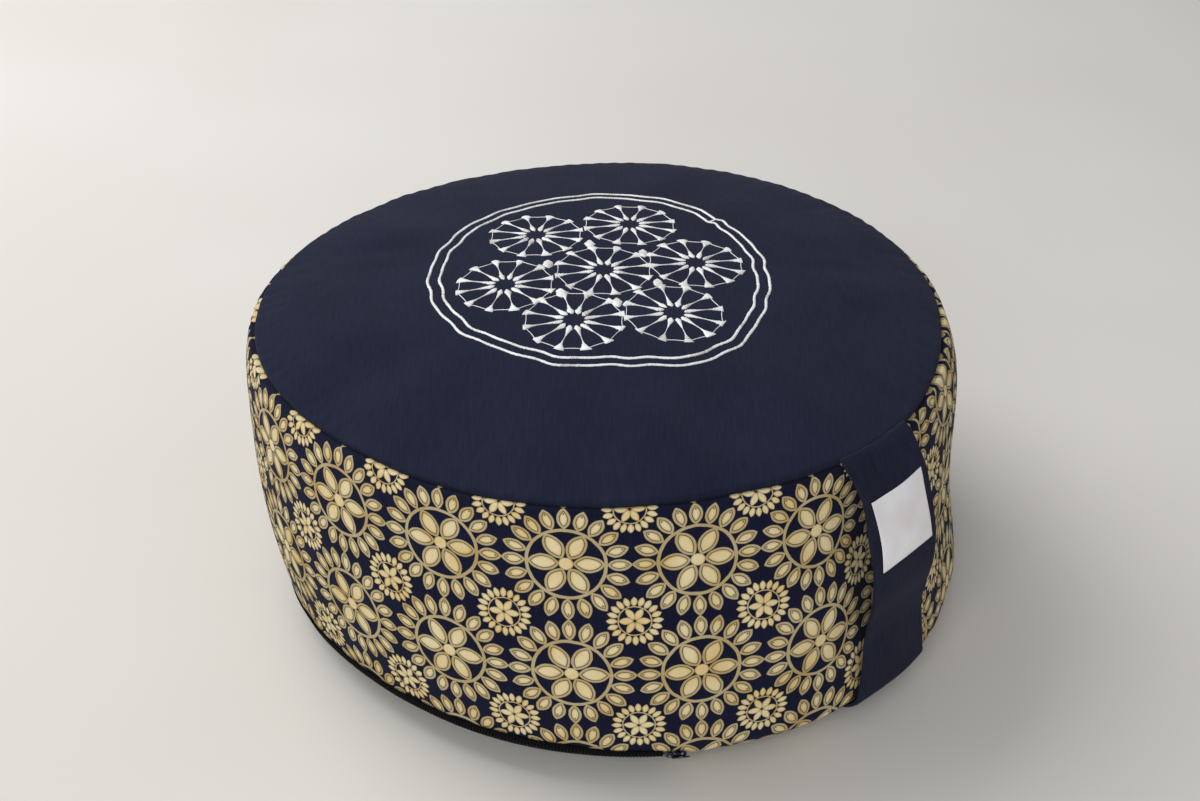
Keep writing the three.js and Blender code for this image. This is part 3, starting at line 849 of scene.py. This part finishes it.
def rosette(middle):
    """Twelve rays, wide at the core and at the rim and thin between, and arcs between them."""
    along, across = heading(STRETCH_ANGLE), heading(STRETCH_ANGLE + 90)
    stretched = lambda plan: middle + ((plan @ along)[:, None] * STRETCH[0] * along
                                       + (plan @ across)[:, None] * STRETCH[1] * across)
    ribs = []
    for number in range(12):
        tilt = FIRST_RAY + 30 * number
        ray = heading(tilt + rng.uniform(-0.8, 0.8))
        reach = RAY[:, :1] * rng.uniform(0.98, 1.01)
        ribs.append(satin(stretched(reach * ray), RAY[:, 1] * rng.uniform(0.9, 1.1)))
        bow = ARC_RADIUS - ARC_BOW * np.sin(np.linspace(0, np.pi, 9))
        arc = stretched(bow[:, None] * heading(tilt + np.linspace(1.5, 28.5, 9)))
        ribs.append(satin(arc, np.full(9, ARC_WIDTH), thickness=0.28 * MM))
    return ribs


def dot(middle):
    """A filled dot: one rib whose width follows an oval, drawn out along the cloth's rib."""
    along = np.linspace(-1, 1, 15)
    widths = DOT_WIDTH * MM * np.sqrt(np.maximum(1 - along ** 2, 0.05))
    path = middle + (along[:, None] * DOT_HALF + DOT_SHIFT) * MM * heading(RIB_ANGLE + 90)
    return satin(path, widths, thickness=0.9 * MM)


def ring_line(inward):
    """A closed line at the table's radii less a distance, with small hand-guided waves."""
    turned = np.arange(0, 360, 1.0)
    waves = sum(h * np.sin(np.radians(n * turned + start)) for n, h, start in RING_WAVES)
    r = np.interp(turned, RING_TURNS, RING_RADII, period=360) + waves * MM
    r = np.convolve(np.pad(r, 1, "wrap"), (0.25, 0.5, 0.25), "valid") - inward
    return satin(r[:, None] * heading(turned + RING_START), np.full(360, RING_WIDTH), closed=True)


rayon = new_material("silver_white_rayon_thread", silver_thread)
rosettes = join_ribs("medallion_rosettes", sum((rosette(middle) for middle in ROSETTES), []))
dress(rosettes, rayon, "top_cloth")
pairs = ROSETTES[1:] + np.roll(ROSETTES[1:], -1, 0) - 2 * ROSETTES[0]
dots = [dot(ROSETTES[0] + pair / 3) for pair in pairs]  # in the gap between three rosettes
bridge = MM * np.array([[76.8], [82.3]]) * heading(RING_START)
bridge = satin(bridge, np.full(2, 1.0 * MM), thickness=0.5 * MM)
rings = join_ribs("medallion_rings", [ring_line(0), ring_line(RING_GAP), bridge] + dots)
dress(rings, rayon, "top_cloth")

# %% [markdown]
# ## Strap
#
# The handle is a tube of the same cotton, pressed flat. It is sewn into the top seam and the
# base seam and left a little long, so that a hand goes behind it. A simulated ribbon would
# hang its own way, so a table gives its bow, width and course instead. Its section is a flat
# oval with rounded folds, and its two ends sink into the seams.

# %% Strap surface
STRAP_THICKNESS = 2 * MM
STRAP_FLATNESS = 0.5
TOUCH_GAP = 0.35 * MM
STRAP_SHAPE = np.array([  # height, bow, width (millimetres), degrees
    (9, 0, 47.5, -1.2), (44, 0.3, 44, -1.2), (58, 2.6, 42.5, -1.8), (77, 8.1, 41.5, -2.3),
    (97, 9.8, 41.5, -2.3), (117, 6.8, 41.5, -2.1), (134, 0, 40.5, -1.9),
])
STRAP_FOOT, STRAP_TOP = STRAP_SHAPE[[0, -1], 0] * MM
BURIED = 3.2 * MM  # how far its ends go into the seams
FLARE_TOP, FLARE_FOOT = 4.2 * MM, 2.6 * MM  # its left edge spreads this far at its ends


def strap_size(column, height):
    """A column of the strap's table at any height between its ends, in its own unit."""
    height = np.clip(height, STRAP_FOOT, STRAP_TOP)
    table = STRAP_SHAPE.reshape(7, 4, *(1,) * height.ndim)
    return through(table[:, 0] * MM + 0 * height, table[:, column] + 0 * height, height, 1.0)


def strap_point(height, across, lift):
    """Place on the strap: at a height, a distance across from its middle and a lift off the
    band. Where it stands off the band it is flatter across than the band is round."""
    height, across, lift = np.broadcast_arrays(height, across, lift)
    middle_degrees, bow = strap_size(3, height), strap_size(1, height) * MM
    middle = band_radius(middle_degrees, height)
    turn = np.arcsin(across / middle)
    degrees = middle_degrees + np.degrees(turn)
    curved = band_radius(degrees, height)
    flat = np.maximum(curved, middle / np.cos(turn))
    flatness = STRAP_FLATNESS * np.minimum(1, bow / STRAP_THICKNESS)
    return from_axis(degrees, curved + (flat - curved) * flatness + bow + lift, height)


def flat_loop(count, edge=6):
    """Closed section of a pressed tube: share across from -1 to 1, how far round a fold, and
    side from 0 (inner face) to 1 (outer face). Starts at the left of the outer face."""
    outer = np.linspace(-1, 1, count)
    fold = np.radians(np.linspace(90, -90, edge + 2))[1:-1]
    none, one = 0 * outer, 1 + 0 * fold
    across = np.concatenate([outer, one, outer[::-1], -one])
    round_out = np.concatenate([none, np.cos(fold), none, -np.cos(fold)])
    side = np.concatenate([none + 1, 0.5 + np.sin(fold) / 2, none, 0.5 - np.sin(fold) / 2])
    return across, round_out, side


def tube(name, grid, cloth):
    """Closed mesh from a grid of rows of closed sections, with its cloth coordinates."""
    piece = build(name, grid, tube_faces(*grid.shape[:2]))
    lay_uv(piece, "flat_cloth", cloth)
    return piece


def strap_grid():
    """Points and cloth coordinates of the strap: rows up it, columns round its section. Its
    edges waver, its upper end has small creases and its outer face is softly uneven."""
    h = MM * np.concatenate([[5.6, 6.4, 7.4, 8.4], np.arange(9.5, 133.5, 1.6),
                             [133.5, 134.6, 135.6, 136.3, 136.9]])[:, None]
    across, round_out, side = flat_loop(40)
    buried = (np.clip((h - STRAP_TOP) / (2.9 * MM), 0, 1) ** 1.3
              + np.clip((8.4 * MM - h) / (2.8 * MM), 0, 1) ** 1.3)
    thick = STRAP_THICKNESS * (0.92 + 0.08 * np.abs(across) ** 6) * (1 - 0.3 * buried)
    half = strap_size(2, h) * MM / 2
    wave = 0.35 * MM * np.sin(h / (11 * MM) + 1.2) + 0.25 * MM * np.sin(h / (4.3 * MM))
    x = across * (half - thick / 2) + round_out * thick / 2 + wave * np.abs(across)
    flare = (FLARE_TOP * np.clip((h / MM - 119) / 15, 0, 1) ** 1.5
             + FLARE_FOOT * np.clip((42 - h / MM) / 33, 0, 1))
    x = x - flare * np.clip(-across, 0, 1) ** 2
    crease = 0.28 * MM * np.sin(x / (3.4 * MM) + h / (9 * MM)) * fade(h - 131 * MM, 9 * MM, 2)
    soft = 0.3 * MM * np.sin(h / (17 * MM) + 2 * across) * np.sin(x / (12 * MM) + 0.7)
    grid = strap_point(h, x, TOUCH_GAP + side * (thick + crease + soft) - buried * BURIED)
    return grid, coordinates(x + (side < 0.5) * 0.1, run_along(grid[:, 20])[:, None])


strap = tube("handle_strap_cloth", *strap_grid())
strap_cotton = new_material("navy_cotton_strap", cotton, "#1B1D2C", "#26293A", bump=0.1)
dress(strap, strap_cotton, "strap_cloth", "handle_strap")

# %% [markdown]
# ## Label
#
# A small satin label is sewn to the strap. It is left bare here. Satin floats its threads one
# way, so it has a soft sheen along them. The label follows the strap's own surface, because
# it is sewn flat to it, but it is stiffer and pillows a little between its four edges.

# %% Label
LABEL_FOOT = MM * np.array([(87.8, -16.2), (89.3, 16.8)])  # height and place across, left and right
LABEL_TOP = MM * np.array([(119.7, -17.4), (121.2, 16.0)])
LABEL_THICKNESS = 0.8 * MM
DRAWN_IN, PILLOW = 0.9 * MM, 0.45 * MM


def label_grid():
    """Strap places with the sides drawn in and a pillow in the middle."""
    up = np.linspace(0, 1, 46)[:, None]
    across, round_out, side = flat_loop(44, edge=4)
    left, right = (LABEL_FOOT[i] + (LABEL_TOP[i] - LABEL_FOOT[i]) * up for i in (0, 1))
    place = left[:, None] + (right - left)[:, None] * ((across + 1) / 2)[:, None]
    bulge = np.sin(np.pi * up)
    thick = LABEL_THICKNESS * (0.35 + 0.4 * (1 - np.abs(across)) ** 0.3)
    height = place[..., 0] + 0.5 * MM * (2 * up - 1) * (across ** 2 - 1)
    x = place[..., 1] - across * (DRAWN_IN * bulge + thick / 2) + round_out * thick / 2
    puff = (PILLOW * (1 - across ** 2) + 0.12 * MM * np.sin(across * 7 + up * 3)) * bulge
    lift = 2 * TOUCH_GAP + STRAP_THICKNESS + side * thick + puff * (0.3 + 0.7 * side)
    return strap_point(height, x, lift), coordinates(x, height)


def satin_cloth(tree):
    """Woven satin: fine lines along the floats and a sheen one way, with a faint warm tint.
    Real floats are 0.1 mm apart; they are drawn at about 0.7 mm."""
    cloth = add(tree, "UVMap", uv_map="flat_cloth")
    broad = add(tree, "TexNoise", Vector=cloth, Scale=40.0)
    tone = fill_ramp(add(tree, "ValToRGB", (broad,)), [(0.35, "#E4DCDA"), (0.65, "#F0EFF1")])
    floats = threads(tree, cloth, 150.0, 1500.0)
    relief = add(tree, "Bump", Height=floats, Strength=0.3, Distance=0.1 * MM)
    return {"Base Color": tone, "Roughness": 0.45, "Specular IOR Level": 0.4,
            "Anisotropic": 0.5, "Sheen Weight": 0.2, "Normal": relief}


label = tube("label_satin_patch", *label_grid())
dress(label, new_material("white_woven_satin", satin_cloth), "label_satin", "label")

# %% [markdown]
# ## Zip
#
# A nylon coil zip closes the base seam. Its coil is one spiral of thick plastic thread sewn
# to each tape, and when closed the turns of the two sides lie between each other, so it
# shows as one row of fine ribs, 1.4 mm apart. The slider waits at its end. Tape, slider and
# pull are all flat tubes that follow the seam; only the coil is many small pieces.

# %% Zip tape, slider and pull
ZIP_TURNS = (212.0, 318.5)
ZIP_LOW = 5 * MM
ZIP_EDGE = np.array([  # degrees and height of the tape's upper edge there, millimetres
    (212, 9), (217, 14.5), (235, 15), (250, 15.5), (262, 18.2), (280, 19), (298, 19.4),
    (310, 18.2), (319, 16.5), (326, 15.5),
])
COIL_DROP = 3.3 * MM  # from the tape's edge down to the middle of the coil
DEGREES = math.degrees(1 / BASE_SEAM_RADIUS)  # round the seam for each metre along it
SLIDER_START, SLIDER_LENGTH = ZIP_TURNS[1] + 0.6 * MM * DEGREES, 9 * MM
PULL_START, PULL_LENGTH = ZIP_TURNS[1] + 1.2, 7.2 * MM


def tape_edge(degrees):
    """Height of the tape's upper edge, with small waves where the band pulls on it."""
    wave = 0.25 * np.sin(np.radians(31 * degrees)) + 0.2 * np.sin(np.radians(17 * degrees))
    return (np.interp(degrees, *ZIP_EDGE.T) + wave) * MM


def seam_place(degrees, height, outward):
    """Point off the base seam: off the band above the seam, off the seam's circle below it."""
    degrees, height, outward = np.broadcast_arrays(degrees, height, outward)
    above = band_radius(degrees, np.maximum(height, BASE_SEAM_HEIGHT))
    radius = np.where(height >= BASE_SEAM_HEIGHT, above, BASE_SEAM_RADIUS)
    return from_axis(degrees, radius + outward, height)


def seam_strip(section, turns, middle, half, fold, lift, thick, crown=0.0):
    """Flat tube along the seam from its middle height, half width and folds, its lift and its
    thickness, which may be crowned. Gives its points and cloth coordinates."""
    across, round_out, side = section
    height = middle - across * (half - fold) - round_out * fold
    out = TOUCH_GAP + lift + side * (thick + crown * (1 - across ** 2))
    return seam_place(turns, height, out), coordinates(turns / DEGREES, height)


def squared(share, power, least):
    """Half width along a piece with rounded ends: root of 1 less a high power of the share."""
    return np.sqrt(np.maximum(1 - np.abs(2 * share - 1) ** power, least))


def zip_tape():
    """Woven tape: a thin strip from near the floor up to its edge, a little proud of the band."""
    turns = np.linspace(*ZIP_TURNS, 301)[:, None]
    edge = tape_edge(turns)
    return seam_strip(flat_loop(17, edge=2), turns, (ZIP_LOW + edge) / 2, (edge - ZIP_LOW) / 2,
                      0.3 * MM, 0, 0.75 * MM)


def slider_grid():
    """Body of the slider: a rounded box round the coil, narrower at its far end."""
    share = np.array([0, 0.04, 0.12, 0.3, 0.5, 0.7, 0.88, 0.96, 1.0])[:, None]
    turns = SLIDER_START + share * SLIDER_LENGTH * DEGREES
    ends = squared(share, 8, 0.35)
    width = ends * (1 - 0.12 * share) * MM
    return seam_strip(flat_loop(9, edge=4), turns, tape_edge(turns) - COIL_DROP, 3.3 * width,
                      0.6 * width, 0, 1.9 * MM * ends, 0.5 * MM * ends)


def pull_grid():
    """Pull tab: a flat tongue that lies along the zip over the slider's middle."""
    share = np.linspace(0, 1, 12)[:, None]
    turns = PULL_START + share * PULL_LENGTH * DEGREES
    half = (1.1 + 0.5 * share) * MM * squared(share, 6, 0.2)
    return seam_strip(flat_loop(7, edge=2), turns, tape_edge(turns) - COIL_DROP, half,
                      0.25 * MM, (2.55 - 0.3 * share) * MM, 0.7 * MM)


# %% Zip coil
COIL_PITCH, COIL_HALF, COIL_RISE = 1.4 * MM, 1.9 * MM, 0.6 * MM
COIL_THREAD = 0.5 * MM  # half the thread's thickness along the zip


def zip_coil():
    """Rows of small rounded teeth: each is a bent thread that arches over the tape."""
    count = int((ZIP_TURNS[1] - ZIP_TURNS[0]) / DEGREES / COIL_PITCH)
    turns = np.linspace(*ZIP_TURNS, count + 1)[:-1, None, None] + 0.25
    along = np.radians(np.linspace(-95, 95, 9))[:, None]
    section = np.radians(np.arange(0, 360, 60))
    turn = turns + COIL_THREAD * np.cos(section) * DEGREES + 0.09 * np.sin(along)
    up = COIL_HALF * np.sin(along) * (1 + 0.15 * np.sin(section))
    out = (0.62 + 0.3 * np.sin(section)) * MM * np.cos(along)
    grid = seam_place(turn, tape_edge(turns) - COIL_DROP + up, TOUCH_GAP + COIL_RISE + out)
    offsets = np.arange(count)[:, None, None] * len(along) * len(section)
    faces = [(part + offsets).reshape(-1, part.shape[1]) for part in tube_faces(9, 6)]
    return build("zip_coil", grid, faces)


# %% Nylon and painted metal
def woven_nylon(tree):
    """Black woven nylon tape: matt, with a rib every 1.4 mm, drawn coarser than its real 0.5."""
    cloth = add(tree, "UVMap", uv_map="flat_cloth")
    ribs = add(tree, "TexWave", Vector=cloth, Scale=WAVE / (1.4 * MM))
    relief = add(tree, "Bump", Height=ribs, Strength=0.5, Distance=0.3 * MM)
    return {"Base Color": linear("#060607"), "Roughness": 0.9, "Specular IOR Level": 0.12,
            "Normal": relief}


def drawn_nylon(tree):
    """Black nylon coil: smooth drawn thread, so it glints, less so in 3 mm patches of dust."""
    place = add(tree, "TexCoord").outputs["Object"]
    dust = add(tree, "TexNoise", Vector=place, Scale=300.0, Detail=3.0)
    dull = add(tree, "MapRange", Value=dust, To_Min=0.35, To_Max=0.65)
    return {"Base Color": linear("#09090B"), "Roughness": dull, "Specular IOR Level": 0.12}


def painted_zinc(tree):
    """Painted die-cast zinc: dark blue paint, worn to bright metal in spots of about 2 mm."""
    place = add(tree, "TexCoord").outputs["Object"]
    noise = add(tree, "TexNoise", Vector=place, Scale=500.0, Detail=4.0)
    worn = add(tree, "MapRange", Value=noise, From_Min=0.56, From_Max=0.62)
    tone = add(tree, "Mix", {0: worn, 6: linear("#1B2232"), 7: linear("#9FA6B4")}, data_type="RGBA")
    return {"Base Color": tone.outputs[2], "Metallic": 0.7, "Roughness": 0.35}


tape = tube("zip_tape", *zip_tape())
dress(tape, new_material("black_woven_zip_tape", woven_nylon), "zip_nylon", "zip")
dress(zip_coil(), new_material("black_nylon_coil", drawn_nylon), "zip_nylon")
metal = new_material("dark_painted_zinc", painted_zinc)
dress(tube("zip_slider_body", *slider_grid()), metal, "slider_metal", "zip_slider")
dress(tube("zip_slider_pull", *pull_grid()), metal, "slider_metal")

# %% [markdown]
# ## Floor and light
#
# A plain pale floor and large soft lights show the cloth without hard shadows. The main light
# comes from the upper left of the picture and from behind, as in the photograph.

# %% Stage
def pale_floor(tree):
    """Matt pale floor, a shade darker in large soft patches."""
    patches = add(tree, "TexNoise", Vector=add(tree, "TexCoord").outputs["Object"], Scale=3.0)
    tone = fill_ramp(add(tree, "ValToRGB", (patches,)), [(0.3, "#D9D4CC"), (0.7, "#DEDAD3")])
    return {"Base Color": tone, "Roughness": 0.85}


floor = build("floor", [(-6, -6, 0), (6, -6, 0), (6, 6, 0), (-6, 6, 0)], [np.arange(4)[None]])
floor.data.materials.append(new_material("pale_floor", pale_floor))


def soft_light(name, right, up, away, size, watts):
    """Area light placed by the camera's directions from the cushion, turned towards it."""
    level = axes[[0, 2]] * (1, 1, 0)
    level /= np.linalg.norm(level, axis=1, keepdims=True)
    place = Vector(level[0] * right - level[1] * away + up * upward)
    lamp = bpy.data.lights.new(name, "AREA")
    lamp.size, lamp.energy = size, watts
    light = bpy.data.objects.new(name, lamp)
    light.location = place
    light.rotation_euler = (Vector((0, 0, 0.08)) - place).to_track_quat("-Z", "Y").to_euler()
    bpy.context.scene.collection.objects.link(light)


soft_light("window", -1.1, 1.5, 0.8, 1.5, 29)
soft_light("room", -0.35, 0.9, -1.6, 1.2, 14)
world = bpy.data.worlds.new("soft_room")
world.use_nodes = True
background = world.node_tree.nodes["Background"].inputs
background["Color"].default_value = linear("#DDE1E8")
background["Strength"].default_value = 0.5
bpy.context.scene.world = world
bpy.context.scene.view_settings.view_transform = "Standard"
print("lights:", [lamp.name for lamp in bpy.data.lights])
